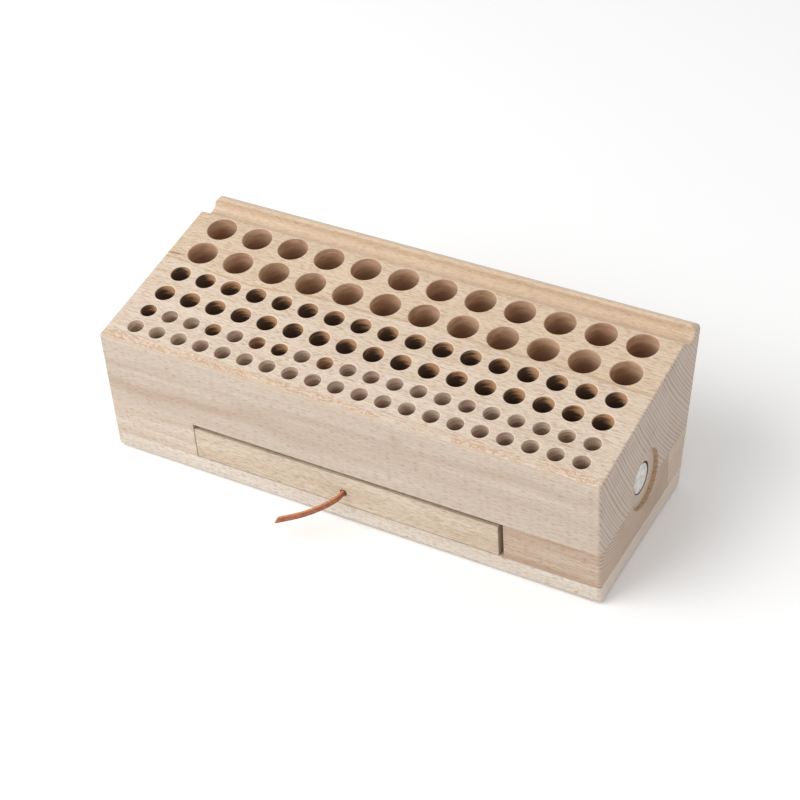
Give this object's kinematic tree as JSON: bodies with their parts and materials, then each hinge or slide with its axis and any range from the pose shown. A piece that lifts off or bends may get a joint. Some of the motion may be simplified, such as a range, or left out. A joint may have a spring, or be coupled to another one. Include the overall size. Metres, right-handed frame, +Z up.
{
  "type": "bench tool holder with drawer",
  "caption": "Low beech block with a sloping face drilled in rows for tool shanks, a small drawer with a lace pull in its base, and a magnet in each end.",
  "frame": {"origin": "on the underside, below the middle of the box that bounds the case", "axes": "+X along the case to the right as seen from the drawer's side, +Y to the back, +Z up"},
  "size_m": [0.26, 0.1355, 0.0825],
  "materials": {
    "bored_block_wood": "sanded beech, scorched in the bores",
    "rail_wood": "sanded beech",
    "base_wood": "sanded pale beech",
    "drawer_wood": "sanded beech",
    "drawer_inner_wood": "planed beech",
    "magnet": "nickel plated",
    "lace_leather": "tan leather lace"
  },
  "bodies": {
    "case": {"hole_block": "bored_block_wood", "left_rail_block": "rail_wood", "right_rail_block": "rail_wood", "rear_rail": "rail_wood", "base_board": "base_wood", "left_magnet": "magnet", "right_magnet": "magnet"},
    "drawer": {"drawer_front": "drawer_wood", "drawer_side_left": "drawer_inner_wood", "drawer_side_right": "drawer_inner_wood", "drawer_back": "drawer_inner_wood", "drawer_bottom": "drawer_inner_wood", "pull_lace": "lace_leather", "lace_knot": "lace_leather"}
  },
  "joints": [
    {"name": "drawer_slide", "type": "slide", "parent": "case", "child": "drawer", "axis": [0, -1, 0], "range_m": [0, 0.062]}
  ]
}
